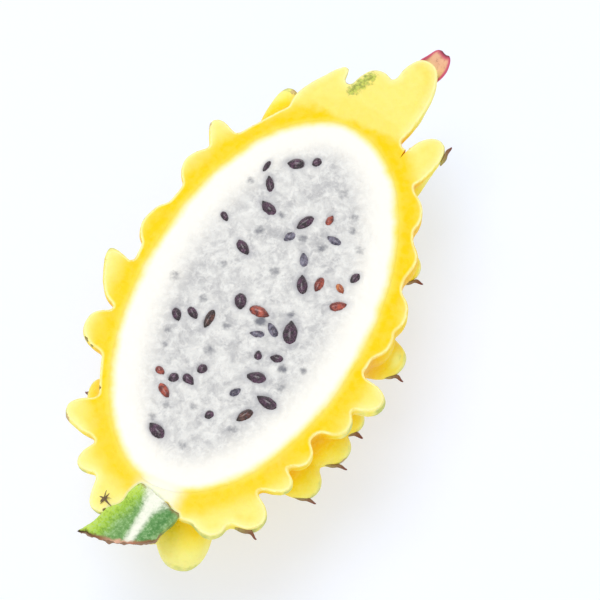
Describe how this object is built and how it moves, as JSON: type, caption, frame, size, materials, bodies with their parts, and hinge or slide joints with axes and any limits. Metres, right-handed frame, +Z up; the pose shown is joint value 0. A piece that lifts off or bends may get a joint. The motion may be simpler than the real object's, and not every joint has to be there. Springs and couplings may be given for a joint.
{
  "type": "dragon fruit half",
  "caption": "Half of a yellow dragon fruit, cut lengthwise: knobbly yellow rind with finger-like scales, white seeded flesh facing up, green stem stub.",
  "frame": {"origin": "middle of the bounding box in plan, on the surface that the half rests on", "axes": "+X along the fruit from the stem to the flower end, +Y across the cut face, +Z up out of the cut face"},
  "size_m": [0.1294, 0.0654, 0.0329],
  "materials": {
    "rind": "waxy skin",
    "flesh": "wet pulp",
    "stem": "moist cut green stem",
    "seed": "smooth and wet",
    "bract": "dry and papery"
  },
  "bodies": {
    "root": {"rind": "rind", "flesh": "flesh", "stem": "stem", "bract_01": "bract", "bract_02": "bract", "bract_03": "bract", "bract_04": "bract", "bract_05": "bract", "bract_06": "bract", "bract_07": "bract", "bract_08": "bract", "bract_09": "bract", "bract_10": "bract", "bract_11": "bract", "bract_12": "bract", "bract_13": "bract", "bract_14": "bract", "bract_15": "bract", "bract_16": "bract", "seed_01": "seed", "seed_02": "seed", "seed_03": "seed", "seed_04": "seed", "seed_05": "seed", "seed_06": "seed", "seed_07": "seed", "seed_08": "seed", "seed_09": "seed", "seed_10": "seed", "seed_11": "seed", "seed_12": "seed", "seed_13": "seed", "seed_14": "seed", "seed_15": "seed", "seed_16": "seed", "seed_17": "seed", "seed_18": "seed", "seed_19": "seed", "seed_20": "seed", "seed_21": "seed", "seed_22": "seed", "seed_23": "seed", "seed_24": "seed", "seed_25": "seed", "seed_26": "seed", "seed_27": "seed", "seed_28": "seed", "seed_29": "seed", "seed_30": "seed", "seed_31": "seed", "seed_32": "seed", "seed_33": "seed", "seed_34": "seed", "seed_35": "seed", "seed_36": "seed", "seed_37": "seed", "seed_38": "seed"}
  },
  "joints": []
}
